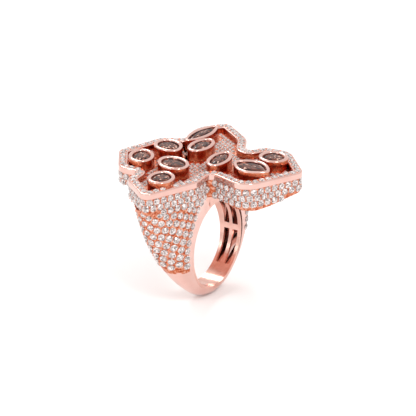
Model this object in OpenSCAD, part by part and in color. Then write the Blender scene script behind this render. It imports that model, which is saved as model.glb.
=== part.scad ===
// Cocktail ring: a slotted finger liner and a plain domed shank carry two pave
// shoulders and a four-petal pave tray with nine bezel-set stones.
// Origin at the centre of the finger hole, which runs along Y; +Z goes up through the head.

/* [Finger hole] */
// Diameter of the finger hole
finger_d = 17; // [15.5:0.1:18.5]
// Thickness of the liner that touches the finger
liner_t = 0.55; // [0.4:0.05:0.7]

/* [Shank] */
// Width of the shank from side to side
shank_w = 4.2; // [3.6:0.1:5]
// Height of the shank's dome above the liner
dome_t = 1.5; // [1.2:0.1:1.9]
// Half angle of the solid lower shank, measured from straight down
plain_half = 38; // [34:1:44]

/* [Liner slots] */
// Width of each slot beside the central rib
slot_w = 1.15; // [0.8:0.05:1.3]
// Width of the central rib between the slots
rib_w = 0.7; // [0.5:0.05:1]
// Angle from straight down of the bar across the slots
crossbar = 89; // [85:1:93]
// Half of the angle that the bar covers
crossbar_half = 4; // [3:0.5:5]
// Angle from straight down at which the upper slots end
slot_end = 140; // [132:1:146]
// Extra width of the liner at its top, all on the back
liner_flare = 1.5; // [0.5:0.1:2]

/* [Shoulders] */
// Wall of the shoulder shells, from pave face to hollow
shell_t = 1.4; // [1.1:0.1:1.8]
// How far the shoulders swell beyond the liner
swell = 7.65; // [6:0.05:9]
// Angle from straight down at which the shoulder stones start
pave_from = 85; // [75:1:95]
// Spacing of the shoulder stones along a column
shoulder_pitch = 1.6; // [1.5:0.02:1.9]
// Spacing of the columns of shoulder stones
column_pitch = 1.56; // [1.5:0.02:1.8]
// Distance from the shoulder's edge to the middle of the first column
shoulder_edge = 0.78; // [0.75:0.01:1.4]
// Diameter of the shoulder stones
shoulder_stone_d = 1.4; // [1.1:0.05:1.45]

/* [Head] */
// Height of the rim plane above the liner
head_h = 6.75; // [6:0.05:8]
// Width of the rim and wall round the tray
rim_w = 1.8; // [1.5:0.1:2.1]
// Height of the polished rim band
rim_h = 1.25; // [1:0.05:1.6]
// How far the pave walls stand back from the rim band
wall_recess = 0.25; // [0.15:0.05:0.4]
// Depth of the tray floor below the rim at the middle
floor_deep = 1.75; // [1.5:0.05:1.8]
// Rise of the tray floor per millimetre away from the middle
floor_slope = 0.04; // [0.02:0.005:0.06]
// Thickness of the tray floor
floor_t = 0.8; // [0.6:0.05:1.1]
// Height of the underside's lowest line above the liner
under_gap = 1.05; // [0.85:0.05:1.5]
// How far that line lies in front of the finger hole's middle
under_front = 13; // [12:0.5:14]
// Rise of the underside per millimetre behind that line
under_back_rise = 0.085; // [0.06:0.005:0.1]
// Rise of the underside per millimetre in front of that line
under_front_rise = 0.45; // [0.3:0.05:0.6]
// Width of the cleft in the floor between the right and back petals
cleft_w = 0.6; // [0.4:0.1:0.8]
// Thickness of the gallery plate that closes the underside
gallery_t = 0.9; // [0.7:0.05:1.2]
// Diameter of the wall stones
wall_stone_d = 1.35; // [1:0.05:1.4]
// Spacing of the wall stones along a row
wall_pitch = 1.5; // [1.46:0.02:1.8]
// Spacing of the rows of wall stones
wall_row = 1.2; // [1.2:0.05:1.5]
// Diameter of the rim stones
rim_stone_d = 1.2; // [0.9:0.05:1.25]
// Spacing of the rim stones
rim_pitch = 1.36; // [1.28:0.02:1.6]
// Diameter of the small floor stones
floor_stone_d = 0.85; // [0.6:0.05:0.9]
// Spacing of the floor stones
floor_pitch = 1.0; // [0.94:0.02:1.3]

/* [Set stones] */
// Height of the bezel tops above the rim plane
bezel_rise = 1; // [0.5:0.1:1.5]
// Thickness of the bezel walls
bezel_t = 0.75; // [0.6:0.05:0.9]
// Depth of the stone's seat below the bezel top
seat_deep = 0.75; // [0.6:0.05:0.9]
// Overhang of the seat ledge under the stone's girdle
ledge = 0.3; // [0.2:0.05:0.4]
// Clearance between a stone's girdle and its bezel
stone_gap = 0.03; // [0.02:0.01:0.06]

/* [Hidden] */
$fn = 96;
finger_r = finger_d / 2;
liner_r = finger_r + liner_t;
half_w = shank_w / 2;
crown_r = liner_r + dome_t;
shoulder_reach = liner_r + swell;
rim_z = liner_r + head_h;
under_z = liner_r + under_gap;
// How far a stone's girdle plane stands above the metal under it
lift = 0.02;
// Gap that keeps the flat facets of a shoulder's edge clear of the round liner
shell_gap = 0.01;
// Least gap between neighbouring shoulder stones
graded_gap = 0.07;
// A stone is left out when another is nearer than this share of a full stone
crowded = 0.8;

// Head outline seen from above, anticlockwise, as corners [x, y, corner radius].
// The inward corners are the notches between the petals.
head = [
    [-3.2, -2.4, 1.2],                                                  // notch left/front
    [-5.9, -11.2, 4], [5.9, -17.3, 2], [13.6, -10, 4], [12.6, -4.6, 2.5],
    [9, -2.7, 1],                                                       // notch front/right
    [14.6, 0.1, 6], [20, 7.6, 1.8], [14.6, 11.7, 5],
    [8.7, 10.7, 1],                                                     // notch right/back
    [6.4, 14.8, 2.6], [-2.8, 18.2, 2.4], [-10.3, 13.4, 3.4],
    [-9.4, 9.4, 1.2],                                                   // notch back/left
    [-13.8, 9.2, 3], [-19.2, 2, 1.6], [-8.2, -3.1, 3.5]
];
// Places of the four notches in the outline, and the point where the petals meet
notch_at = [0, 5, 9, 13, 17];
middle = [-0.5, 1];
FRONT = 0; RIGHT = 1; BACK = 2; LEFT = 3;

// Set stones: [x, y, turn, length, width, point] of the bezel's outside; point 0 is an
// oval, 1 a marquise, and the values between them are drops with one sharp end.
sets = [
    [-4.7, 11.8, 30, 6.4, 4.9, 0],
    [2.3, 10.2, 240, 6.6, 5.3, 0.45],
    [-4.6, 4.8, 66, 7, 5.6, 0.3],
    [-11.7, 2.9, 15, 6.1, 5.1, 0.35],
    [10.9, 8.1, 174, 9.8, 3.9, 1],
    [5.7, 5, 0, 7.2, 4.4, 0.15],
    [1.7, -1.5, 6, 7.8, 4.2, 0.5],
    [1.5, -8.6, 81, 8.2, 6, 1],
    [7.7, -9.7, 75, 5.7, 5.4, 0]
];

// ---- small geometry functions
function unit(v) = v / norm(v);
function mix(a, b, t) = a * (1 - t) + b * t;
function cubic(p, t) = let (u = 1 - t)
    p[0] * u * u * u + p[1] * 3 * t * u * u + p[2] * 3 * t * t * u + p[3] * t * t * t;
function cross_z(a, b) = a[0] * b[1] - a[1] * b[0];
function at(list, i) = list[(i + len(list)) % len(list)];
function xy(p) = [p[0], p[1]];

// Where two lines cross, each given by a point and a direction
function meet(p, d, q, e) = p + d * (cross_z(q - p, e) / cross_z(d, e));
// Corners of an outline moved inwards by a distance
function inset(c, by) = [for (i = [0:len(c) - 1]) let (
    a = xy(at(c, i - 1)), b = xy(c[i]), d = xy(at(c, i + 1)),
    u = unit(b - a), v = unit(d - b),
    p = meet(b + by * [-u[1], u[0]], u, b + by * [-v[1], v[0]], v),
    outward = cross_z(u, v) > 0,
    r = outward ? max(0.25, c[i][2] - by) : c[i][2] + by)
    [p[0], p[1], r]];
// Points of an outline whose corners are rounded by arcs
function rounded(c, steps = 6) = [for (i = [0:len(c) - 1]) let (
    a = xy(at(c, i - 1)), b = xy(c[i]), d = xy(at(c, i + 1)),
    u = unit(a - b), v = unit(d - b), r = c[i][2],
    half = acos(u * v) / 2, m = b + unit(u + v) * r / sin(half),
    s = b + u * r / tan(half) - m, e = b + v * r / tan(half) - m,
    a0 = atan2(s[1], s[0]), turn = atan2(cross_z(s, e), s * e))
    for (k = [0:steps]) m + r * [cos(a0 + turn * k / steps), sin(a0 + turn * k / steps)]];
function inside(p, poly) = let (n = len(poly)) 1 == len([for (i = [0:n - 1])
    let (a = poly[i], b = at(poly, i + 1))
    if ((a[1] > p[1]) != (b[1] > p[1])
        && p[0] < (b[0] - a[0]) * (p[1] - a[1]) / (b[1] - a[1]) + a[0]) 1]) % 2;
function edge_lengths(p) = [for (i = [0:len(p) - 2]) norm(p[i + 1] - p[i])];
function run(v, n) = n <= 0 ? 0 : v[n - 1] + run(v, n - 1);
// Point, direction and stretch number at a distance along an open line of points
function along(p, dist, i = 0) = let (l = norm(p[i + 1] - p[i]))
    (dist <= l || i >= len(p) - 2)
        ? [mix(p[i], p[i + 1], dist / l), unit(p[i + 1] - p[i]), i]
        : along(p, dist - l, i + 1);
// Evenly spaced places along a line, as [point, direction], with a margin at both ends
function spaced(p, pitch, margin) = let (
    total = run(edge_lengths(p), len(p) - 1) - 2 * margin,
    n = max(1, floor(total / pitch)))
    [for (k = [0:n]) along(p, margin + total * k / n)];

// ---- stones
// A round stone's crown above its girdle plane
module round_stone(d) {
    rotate_extrude($fn = 24)
        polygon([[0, 0], [d / 2, 0], [d / 2, d * 0.08], [d * 0.29, d * 0.24], [0, d * 0.24]]);
}
// Puts a child at a place with its own Z along a direction
module stand(p, n) {
    tilt = acos(n[2] / norm(n));
    spin = atan2(n[1], n[0]);
    translate(p + n * lift) rotate([0, tilt, spin]) children();
}

// ---- shank and liner
// Cross-section of the domed shank, as [distance from the finger axis, place across]
dome = [[liner_r + 0.1, -half_w], [liner_r + dome_t * 1.3, -half_w * 0.76],
        [liner_r + dome_t * 1.3, half_w * 0.76], [liner_r + 0.1, half_w]];
// Far edge of the liner at a height
function back_edge(z) = half_w + liner_flare * max(0, z + 4) / (finger_r + 4);

module lower_sector(half) {
    reach = 3 * crown_r;
    rotate([90, 0, 0]) linear_extrude(4 * shank_w, center = true)
        polygon([[0, 0], [-reach * sin(half), -reach * cos(half)],
                 [reach * sin(half), -reach * cos(half)]]);
}
module ring_tube(r_in, r_out, w) {
    rotate([90, 0, 0]) difference() {
        cylinder(r = r_out, h = w, center = true);
        cylinder(r = r_in, h = 2 * w, center = true);
    }
}
// One window through the liner between two angles from straight down
module liner_slot(y0, y1, from, to) {
    reach = 2 * crown_r;
    mid = (from + to) / 2;
    translate([0, y1, 0]) rotate([90, 0, 0]) linear_extrude(y1 - y0)
        polygon([[0, 0], reach * [sin(from), -cos(from)], reach * [sin(mid), -cos(mid)] * 1.2,
                 reach * [sin(to), -cos(to)]]);
}
module finger_liner() {
    color("#e6b09c") difference() {
        intersection() {
            ring_tube(finger_r, liner_r, 4 * shank_w);
            rotate([90, 0, 90]) linear_extrude(4 * crown_r, center = true)
                polygon([[-half_w, -2 * finger_r], [half_w, -2 * finger_r], [half_w, -4],
                         [back_edge(liner_r), liner_r], [back_edge(liner_r), 2 * finger_r],
                         [-half_w, 2 * finger_r]]);
        }
        for (side = [0, 1]) mirror([side, 0, 0]) for (y = [rib_w / 2, -rib_w / 2 - slot_w]) {
            liner_slot(y, y + slot_w, plain_half, crossbar - crossbar_half);
            liner_slot(y, y + slot_w, crossbar + crossbar_half, slot_end);
        }
    }
}
module shank_band() {
    steps = 20;
    color("#e6b09c") intersection() {
        rotate([90, 0, 0]) rotate_extrude()
            polygon(concat([[liner_r, half_w], [liner_r, -half_w]],
                           [for (i = [0:steps]) cubic(dome, i / steps)]));
        lower_sector(plain_half);
    }
}

// ---- shoulders
// Four rails run up the left shoulder: the front edge, two over the swell and the back edge.
// Each top is where the shell meets its petal, as the two swell rails and the back edge.
left_top = [[-14.6, -2.2], [-25.4, 5.4], [-9.8, 8.4]];
right_top = [[-12.6, -1.4], [-23.4, 8.6], [-10, 9.4]];
top_z = under_z + 2.9;
top_angle = 160;
// Where the front edges of the shoulders end, just under the head
top_end = [-4.2, -half_w - 0.3, top_z - 1.5];
function around(r, angle, y) = [-r * sin(angle), y, -r * cos(angle)];
function foot(k) = around(dome[k][0], plain_half, dome[k][1]);
function rails(top) = [
    [foot(0), [-liner_r - 3.5, -half_w, -1.8], [-liner_r - 2, -half_w - 0.3, 6.5],
        top_end],
    [foot(1), [-shoulder_reach + 2.6, -half_w - 0.3, -1.6],
        [-shoulder_reach + 1.6, -half_w - 2, 7], [top[0][0], top[0][1], top_z]],
    [foot(2), [-shoulder_reach + 0.6, half_w + 2.8, -2.2],
        [-shoulder_reach - 3.6, half_w + 8.4, 6], [top[1][0], top[1][1], top_z]],
    [foot(3), [-liner_r - 3.6, half_w + 0.3, -0.8], [-liner_r - 0.6, half_w + 1.8, 6.5],
        [top[2][0], top[2][1], top_z]]
];
// A place on the outside of a shoulder: s runs front to back, t runs bottom to top
function shoulder_out(r, s, t) = cubic([for (c = r) cubic(c, t)], s);
// The inside starts on the liner and soon follows the outside at the shell's thickness
function shoulder_in(r, s, t) = let (
    a = mix(plain_half, top_angle, t),
    open = min(1, t * 8),
    seat = liner_r + shell_gap,
    mids = [for (k = [1, 2]) let (c = cubic(r[k], t))
        mix(around(seat, a, c[1]), c + [shell_t * 4 / 3, 0, 0], open)],
    back = min(cubic(r[3], t)[1], back_edge(-liner_r * cos(a))))
    cubic([around(seat, a, cubic(r[0], t)[1]), mids[0], mids[1], around(seat, a, back)], s);

// Height of the underside at a place along Y
function under_at(y) = under_z + (y > -under_front
    ? (y + under_front) * under_back_rise : -(y + under_front) * under_front_rise);
// A slab whose lower face is the underside and whose upper face lies higher
module above_underside(height) {
    far = 40;
    ys = [-far, -under_front, far];
    rotate([90, 0, 90]) linear_extrude(2 * far, center = true)
        polygon(concat([for (y = ys) [y, under_at(y)]],
                       [for (k = [2:-1:0]) [ys[k], under_at(ys[k]) + height]]));
}
module shoulder(top) {
    r = rails(top);
    ns = 20;
    nt = 26;
    w = ns + 1;
    n = w * (nt + 1);
    pts = concat([for (j = [0:nt]) for (i = [0:ns]) shoulder_out(r, i / ns, j / nt)],
                 [for (j = [0:nt]) for (i = [0:ns]) shoulder_in(r, i / ns, j / nt)]);
    function quad(a, b, c, d) = [[a, c, b], [a, d, c]];
    faces = concat(
        [for (j = [0:nt - 1]) for (i = [0:ns - 1]) let (a = j * w + i)
            for (f = quad(a, a + w, a + w + 1, a + 1)) f],
        [for (j = [0:nt - 1]) for (i = [0:ns - 1]) let (a = n + j * w + i)
            for (f = quad(a, a + 1, a + w + 1, a + w)) f],
        [for (j = [0:nt - 1]) let (a = j * w) for (f = quad(a, n + a, n + a + w, a + w)) f],
        [for (j = [0:nt - 1]) let (a = j * w + ns) for (f = quad(a, a + w, n + a + w, n + a)) f],
        [for (i = [0:ns - 1]) for (f = quad(i, i + 1, n + i + 1, n + i)) f],
        [for (i = [0:ns - 1]) let (a = nt * w + i) for (f = quad(a, n + a, n + a + 1, a + 1)) f]);
    difference() {
        polyhedron(points = pts, faces = faces, convexity = 6);
        above_underside(20);
    }
}
// Columns of stones run up the shoulder side by side from its front edge. A column keeps its
// distance from that edge, and it ends where the shoulder is too narrow for it.
function shoulder_rows(r) = let (fine = 60) [for (j = [0:fine])
    let (row = [for (i = [0:fine]) shoulder_out(r, i / fine, j / fine)])
        if (atan2(-row[0][0], -row[0][2]) > pave_from) row];
function column(rows, dist) = [for (row = rows)
    let (total = run(edge_lengths(row), len(row) - 1), q = along(row, dist))
        if (total - shoulder_edge >= dist && q[0][2] < under_at(q[0][1]) - shoulder_stone_d * 0.3) q];
// Each stone's place and outward direction, column by column
function shoulder_spots(top) = let (rows = shoulder_rows(rails(top)),
    widest = max([for (row = rows) run(edge_lengths(row), len(row) - 1)]))
    [for (i = [0:floor((widest - 2 * shoulder_edge) / column_pitch)])
        let (line = column(rows, shoulder_edge + i * column_pitch),
            pts = [for (q = line) q[0]],
            half = i % 2 * shoulder_pitch / 2,
            total = len(pts) < 2 ? -1 : run(edge_lengths(pts), len(pts) - 1) - half)
        if (total > 0) for (k = [0:floor(total / shoulder_pitch)])
            let (q = along(pts, half + k * shoulder_pitch))
            [q[0], unit(cross(q[1], line[q[2]][1]))]];
// Distance from one spot to the nearest of the first n others
function nearest(spots, i, n) =
    min(concat([2 * rim_z], [for (k = [0:1:n - 1]) if (k != i) norm(spots[k][0] - spots[i][0])]));
// The stones are graded: where columns crowd together they are smaller, and none touch
module shoulder_stones(top) {
    every = shoulder_spots(top);
    spots = [for (i = [0:len(every) - 1])
        if (nearest(every, i, i) > crowded * shoulder_stone_d) every[i]];
    for (i = [0:len(spots) - 1]) {
        d = min(shoulder_stone_d, nearest(spots, i, len(spots)) - graded_gap);
        stand(spots[i][0], spots[i][1]) round_stone(d);
    }
}
module shoulder_left() color("#e3a892") shoulder(left_top);
module shoulder_right() color("#e3a892") mirror([1, 0, 0]) shoulder(right_top);
module shoulder_stones_left() color("#f2efee") shoulder_stones(left_top);
module shoulder_stones_right() color("#f2efee") mirror([1, 0, 0]) shoulder_stones(right_top);

// ---- head
function notch_angle(i) = let (p = xy(at(head, notch_at[i])) - middle) atan2(p[1], p[0]);
// The slice of plan that belongs to one petal
module petal_slice(i) {
    a = notch_angle(i);
    b0 = notch_angle(i + 1);
    b = b0 < a ? b0 + 360 : b0;
    polygon(concat([middle], [for (k = [0:4]) let (w = mix(a, b, k / 4)) middle + 60 * [cos(w), sin(w)]]));
}
module head_plan(by) polygon(rounded(inset(head, by)));
module petal_strip(i, from, to) {
    intersection() {
        difference() {
            head_plan(from);
            head_plan(to);
        }
        petal_slice(i);
    }
}
module petal_wall(i) {
    intersection() {
        linear_extrude(rim_z - rim_h) petal_strip(i, wall_recess, rim_w);
        above_underside(20);
    }
}
module petal_rim(i) {
    translate([0, 0, rim_z - rim_h]) linear_extrude(rim_h) difference() {
        petal_strip(i, 0, rim_w);
        bezel_places();
    }
}
// The plan that all bezels cover, with a hair of clearance
module bezel_places() {
    for (b = sets) translate([b[0], b[1]]) rotate(b[2])
        polygon(set_outline(b[3] + 2 * lift, b[4] + 2 * lift, b[5]));
}
function floor_z(p) = rim_z - floor_deep + floor_slope * norm(p);
module floor_sheet(thick) {
    r = 30;
    translate([0, 0, rim_z - floor_deep]) rotate_extrude()
        polygon([[0, 0], [r, r * floor_slope], [r, r * floor_slope - thick], [0, -thick]]);
}
module petal_floor(i) {
    intersection() {
        floor_sheet(floor_t);
        linear_extrude(2 * rim_z) intersection() {
            difference() {
                head_plan(rim_w);
                cleft();
            }
            petal_slice(i);
        }
    }
}
// The narrow slot that runs in from the notch between the right and back petals
module cleft() {
    outer = xy(head[notch_at[BACK]]);
    way = unit(xy(head[notch_at[BACK]]) - [2, 6]);
    side = cleft_w / 2 * [-way[1], way[0]];
    polygon([outer + side, [2, 6] + side, [2, 6] - side, outer - side]);
}
module gallery() {
    color("#d99f89") intersection() {
        union() {
            above_underside(gallery_t);
            saddle();
        }
        linear_extrude(2 * rim_z) head_plan(rim_w);
    }
}
// The block that joins the top of the liner to the underside, between the shoulders
module saddle() {
    wide = 2 * -top_end[0];
    deep = half_w + back_edge(liner_r);
    difference() {
        translate([-wide / 2, -half_w, 0]) cube([wide, deep, rim_z]);
        translate([0, 0, gallery_t / 2]) above_underside(2 * rim_z);
        rotate([90, 0, 0]) cylinder(r = liner_r + shell_gap, h = 6 * shank_w, center = true);
    }
}

// Stones on the rim: one row on its middle line
module rim_stones(i) {
    a = notch_at[i];
    b = notch_at[i + 1];
    c = inset(head, rim_w / 2);
    line = arc_between(c, a, b);
    for (q = spaced(line, rim_pitch, rim_stone_d * 0.62))
        if (clear_of_sets(q[0], rim_stone_d * 0.3))
            stand([q[0][0], q[0][1], rim_z], [0, 0, 1]) round_stone(rim_stone_d);
}
// The rounded outline between two of its corners, from mid arc to mid arc
function arc_between(c, a, b) = let (
    steps = 6, all = rounded(c, steps), per = steps + 1, n = len(all))
    [for (k = [a * per + steps / 2:b * per + steps / 2]) all[k % n]];
// Stones on the wall: rows stacked below the rim band, each second row half a step on
module wall_stones(i) {
    line = arc_between(inset(head, wall_recess), notch_at[i], notch_at[i + 1]);
    top = rim_z - rim_h - wall_stone_d * 0.5;
    rows = floor((top - under_z) / wall_row);
    for (j = [0:rows - 1]) {
        z = top - j * wall_row;
        m = wall_stone_d * 0.7 + (j % 2) * wall_pitch / 2;
        for (q = spaced(line, wall_pitch, m))
            if (z > under_at(q[0][1]) + wall_stone_d * 0.15)
                stand([q[0][0], q[0][1], z], [q[1][1], -q[1][0], 0]) round_stone(wall_stone_d);
    }
}
// Clear of every bezel by half a stone, using the bezel's own oval
function clear_of_sets(p, gap) = len([for (b = sets) let (
    d = p - xy(b), c = cos(b[2]), s = sin(b[2]),
    q = [(d[0] * c + d[1] * s) / (b[3] / 2 + gap), (d[1] * c - d[0] * s) / (b[4] / 2 + gap)])
    if (norm(q) < 1) 1]) == 0;
module floor_stones(i) {
    edge = rounded(inset(head, rim_w + floor_stone_d * 0.6));
    a = notch_angle(i);
    b0 = notch_angle(i + 1);
    b = b0 < a ? b0 + 360 : b0;
    reach = 20;
    rows = floor(reach / (floor_pitch * 0.87));
    for (j = [-rows:rows]) for (k = [-rows:rows]) {
        p = [(k + (j % 2 == 0 ? 0 : 0.5)) * floor_pitch, j * floor_pitch * 0.87];
        d = p - middle;
        w0 = atan2(d[1], d[0]);
        w = w0 < a ? w0 + 360 : w0;
        if (w >= a && w < b && inside(p, edge) && clear_of_sets(p, floor_stone_d * 0.6)) {
            r = max(norm(p), 0.01);
            stand([p[0], p[1], floor_z(p)], unit([-floor_slope * p[0] / r, -floor_slope * p[1] / r, 1]))
                round_stone(floor_stone_d);
        }
    }
}
module wall_front() color("#e3a892") petal_wall(FRONT);
module wall_right() color("#e3a892") petal_wall(RIGHT);
module wall_back() color("#e3a892") petal_wall(BACK);
module wall_left() color("#e3a892") petal_wall(LEFT);
module rim_front() color("#f0c4b2") petal_rim(FRONT);
module rim_right() color("#f0c4b2") petal_rim(RIGHT);
module rim_back() color("#f0c4b2") petal_rim(BACK);
module rim_left() color("#f0c4b2") petal_rim(LEFT);
module floor_front() color("#d08a70") petal_floor(FRONT);
module floor_right() color("#d08a70") petal_floor(RIGHT);
module floor_back() color("#d08a70") petal_floor(BACK);
module floor_left() color("#d08a70") petal_floor(LEFT);
module wall_stones_front() color("#f2efee") wall_stones(FRONT);
module wall_stones_right() color("#f2efee") wall_stones(RIGHT);
module wall_stones_back() color("#f2efee") wall_stones(BACK);
module wall_stones_left() color("#f2efee") wall_stones(LEFT);
module rim_stones_front() color("#f2efee") rim_stones(FRONT);
module rim_stones_right() color("#f2efee") rim_stones(RIGHT);
module rim_stones_back() color("#f2efee") rim_stones(BACK);
module rim_stones_left() color("#f2efee") rim_stones(LEFT);
module floor_stones_front() color("#f2efee") floor_stones(FRONT);
module floor_stones_right() color("#f2efee") floor_stones(RIGHT);
module floor_stones_back() color("#f2efee") floor_stones(BACK);
module floor_stones_left() color("#f2efee") floor_stones(LEFT);

// ---- set stones
// Outline of a set stone: an oval whose ends sharpen as point grows
function set_outline(l, w, point, n = 40) = [for (i = [0:n - 1]) let (
    a = 360 * i / n,
    sharp = point == 1 ? 1 : cos(a) > 0 ? point : 0,
    y = sin(a) * (1 - sharp * 0.42 * cos(a) * cos(a)))
    [l / 2 * cos(a), w / 2 * y]];
module bezel(k) {
    b = sets[k];
    top = rim_z + bezel_rise;
    low = rim_z - floor_deep;
    difference() {
        translate([b[0], b[1], 0]) rotate([0, 0, b[2]]) difference() {
            translate([0, 0, low]) linear_extrude(top - low)
                polygon(set_outline(b[3], b[4], b[5]));
            translate([0, 0, top - seat_deep]) linear_extrude(2 * seat_deep)
                polygon(set_outline(b[3] - 2 * bezel_t, b[4] - 2 * bezel_t, b[5]));
            translate([0, 0, low - 1]) linear_extrude(top)
                polygon(set_outline(b[3] - 2 * bezel_t - 2 * ledge,
                                    b[4] - 2 * bezel_t - 2 * ledge, b[5]));
        }
        translate([0, 0, -60]) rotate_extrude()
            polygon([[0, 0], [30, 0], [30, 60 + rim_z - floor_deep + 30 * floor_slope],
                     [0, 60 + rim_z - floor_deep]]);
    }
}
// A faceted stone: table, crown, girdle and pavilion down to a keel
module smoky_stone(k) {
    b = sets[k];
    n = 20;
    l = b[3] - 2 * bezel_t - 2 * stone_gap;
    w = b[4] - 2 * bezel_t - 2 * stone_gap;
    girdle = rim_z + bezel_rise - seat_deep;
    inner = ledge + 0.1;
    rings = [
        [0.62, 0.62, 0.62], [0.86, 0.86, 0.4], [1, 1, 0.16], [1, 1, 0.02],
        [1 - 2 * inner / l, 1 - 2 * inner / w, 0.02], [0.5, 0.5, -0.75], [0.12, 0.12, -1.15]
    ];
    pts = [for (r = rings) for (q = set_outline(l, w, b[5], n)) [q[0] * r[0], q[1] * r[1], r[2]]];
    m = len(rings);
    faces = concat(
        [[for (i = [n - 1:-1:0]) i]],
        [for (j = [0:m - 2]) for (i = [0:n - 1]) let (a = j * n + i, c = j * n + (i + 1) % n)
            for (f = [[a, c, c + n], [a, c + n, a + n]]) f],
        [[for (i = [0:n - 1]) (m - 1) * n + i]]);
    translate([b[0], b[1], girdle]) rotate([0, 0, b[2]])
        polyhedron(points = pts, faces = faces, convexity = 4);
}
module set_bezel(k) color("#f4cfc0") bezel(k);
module set_stone(k) color("#6d5f5c") smoky_stone(k);

finger_liner();
shank_band();
shoulder_left();
shoulder_right();
gallery();
wall_front();
wall_right();
wall_back();
wall_left();
rim_front();
rim_right();
rim_back();
rim_left();
floor_front();
floor_right();
floor_back();
floor_left();
for (k = [0:8]) set_bezel(k);
for (k = [0:8]) set_stone(k);
shoulder_stones_left();
shoulder_stones_right();
wall_stones_front();
wall_stones_right();
wall_stones_back();
wall_stones_left();
rim_stones_front();
rim_stones_right();
rim_stones_back();
rim_stones_left();
floor_stones_front();
floor_stones_right();
floor_stones_back();
floor_stones_left();
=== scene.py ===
import math
import bpy
import numpy as np
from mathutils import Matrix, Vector


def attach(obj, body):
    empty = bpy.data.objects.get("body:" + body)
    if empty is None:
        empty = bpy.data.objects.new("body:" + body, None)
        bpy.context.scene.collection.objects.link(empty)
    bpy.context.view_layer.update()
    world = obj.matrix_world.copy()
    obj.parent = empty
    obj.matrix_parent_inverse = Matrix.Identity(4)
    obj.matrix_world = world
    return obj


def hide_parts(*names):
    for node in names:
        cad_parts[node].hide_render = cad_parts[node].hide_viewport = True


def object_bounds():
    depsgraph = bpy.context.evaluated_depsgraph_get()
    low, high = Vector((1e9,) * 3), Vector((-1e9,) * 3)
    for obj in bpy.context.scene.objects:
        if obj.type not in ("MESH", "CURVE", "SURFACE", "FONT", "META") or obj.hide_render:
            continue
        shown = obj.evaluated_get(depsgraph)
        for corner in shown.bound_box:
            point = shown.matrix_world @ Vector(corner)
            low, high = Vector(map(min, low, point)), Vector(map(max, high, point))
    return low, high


# Cocktail ring in rose gold. The shank, the shoulders, the rims, the walls, the bezels and all
# stones are built here as clean surfaces. The liner, the gallery plate and the tray floors are the
# frame's own solids with new finishes. Sizes are in millimetres until putMesh turns them to metres.

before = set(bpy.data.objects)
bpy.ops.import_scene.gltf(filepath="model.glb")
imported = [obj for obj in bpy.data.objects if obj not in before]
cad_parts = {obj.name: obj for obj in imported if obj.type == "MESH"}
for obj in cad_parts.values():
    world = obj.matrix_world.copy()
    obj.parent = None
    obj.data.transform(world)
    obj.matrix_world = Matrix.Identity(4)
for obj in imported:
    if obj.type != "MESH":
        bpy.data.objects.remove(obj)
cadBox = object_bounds()
millimetre = 0.001
chance = np.random.default_rng(7)

ring = {
    "linerRadius": 9.05,     # outside of the liner
    "halfWidth": 2.1,        # half of the shank's width
    "domeHeight": 1.5,       # shank's dome above the liner
    "plainHalf": 38.0,       # half angle of the plain lower shank, degrees
    "topAngle": 160.0,
    "topHeight": 13.0,
    "reach": 16.7,           # how far the shoulders swell
    "shell": 1.4,
    "flare": 1.5,            # extra width of the liner at its top
}
head = {
    "rimHeight": 15.8,       # top of the rim above the finger's centre
    "rimWidth": 1.8,
    "rimBand": 1.25,         # height of the polished band
    "recess": 0.25,          # how far the walls stand back from it
    "floorDeep": 1.75,
    "floorSlope": 0.04,
    "underLow": 10.1,        # lowest line of the underside
    "underFront": 13.0,
    "riseBack": 0.085,
    "riseFront": 0.45,
    "edgeRound": 0.2,
}
# corners of the four petals seen from above: x, y, corner radius; notches are 0, 5, 9 and 13
headCorners = np.array([
    [-3.2, -2.4, 1.2],
    [-5.9, -11.2, 4], [5.9, -17.3, 2], [13.6, -10, 4], [12.6, -4.6, 2.5],
    [9, -2.7, 1],
    [14.6, 0.1, 6], [20, 7.6, 1.8], [14.6, 11.7, 5],
    [8.7, 10.7, 1],
    [6.4, 14.8, 2.6], [-2.8, 18.2, 2.4], [-10.3, 13.4, 3.4],
    [-9.4, 9.4, 1.2],
    [-13.8, 9.2, 3], [-19.2, 2, 1.6], [-8.2, -3.1, 3.5],
])
notchAt = [0, 5, 9, 13, 17]
petalNames = ["front", "right", "back", "left"]
petalMiddle = np.array([-0.5, 1.0])
# set stones: x, y, turn in degrees, length, width, sharpness of the pointed end
setStones = [
    [-4.7, 11.8, 30, 6.4, 4.9, 0],
    [2.3, 10.2, 240, 6.6, 5.3, 0.45],
    [-4.6, 4.8, 66, 7, 5.6, 0.3],
    [-11.7, 2.9, 15, 6.1, 5.1, 0.35],
    [10.9, 8.1, 174, 9.8, 3.9, 1],
    [5.7, 5, 0, 7.2, 4.4, 0.15],
    [1.7, -1.5, 6, 7.8, 4.2, 0.5],
    [1.5, -8.6, 81, 8.2, 6, 1],
    [7.7, -9.7, 75, 5.7, 5.4, 0],
]


# Each sRGB channel c becomes c / 12.92 when small, else ((c + 0.055) / 1.055) ^ 2.4.
def toLinear(hexColour):
    c = np.array([int(hexColour[i:i + 2], 16) for i in (1, 3, 5)]) / 255
    c = np.where(c < 0.04045, c / 12.92, ((c + 0.055) / 1.055) ** 2.4)
    return (*c, 1.0)


# Adds a node, sets its properties, and links or sets each named input; _ stands for a space.
def addNode(tree, kind, settings=None, **inputs):
    node = tree.nodes.new(kind)
    for key, value in (settings or {}).items():
        setattr(node, key, value)
    for key, value in inputs.items():
        numbered = key[1:].isdigit()
        socket = node.inputs[int(key[1:])] if numbered else node.inputs[key.replace("_", " ")]
        if isinstance(value, bpy.types.NodeSocket):
            tree.links.new(value, socket)
        else:
            socket.default_value = value
    return node


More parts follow.
